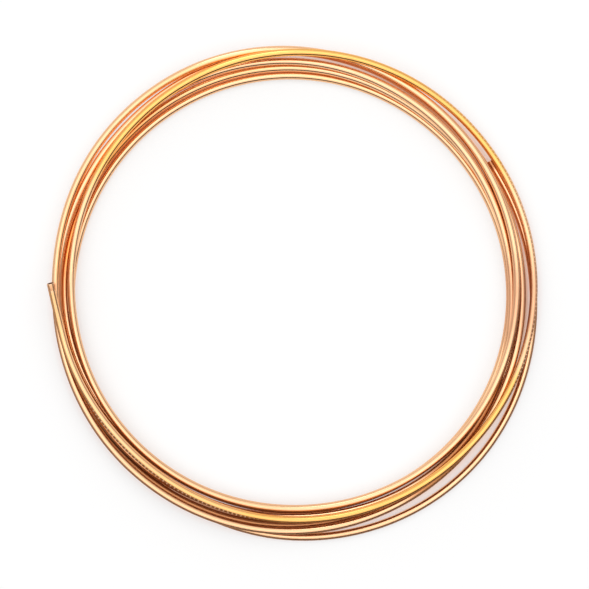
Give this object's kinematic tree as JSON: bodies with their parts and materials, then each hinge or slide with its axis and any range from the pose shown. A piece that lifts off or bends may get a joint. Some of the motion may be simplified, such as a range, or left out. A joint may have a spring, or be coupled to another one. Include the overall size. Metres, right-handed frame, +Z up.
{
  "type": "copper tube coil",
  "caption": "Loose coil of bright soft copper tube with two open cut ends, lying flat, for plumbing, gas or refrigerant lines.",
  "frame": {"origin": "centre of the bounding box on the floor, under the lowest turn", "axes": "+Z up out of the coil's eye; the raised free end is on the -X side and points towards +Y"},
  "size_m": [0.6584, 0.669, 0.0598],
  "materials": {
    "copper": "bright soft-annealed drawn copper, lightly tarnished"
  },
  "bodies": {
    "root": {"copper_tube": "copper"}
  },
  "joints": []
}
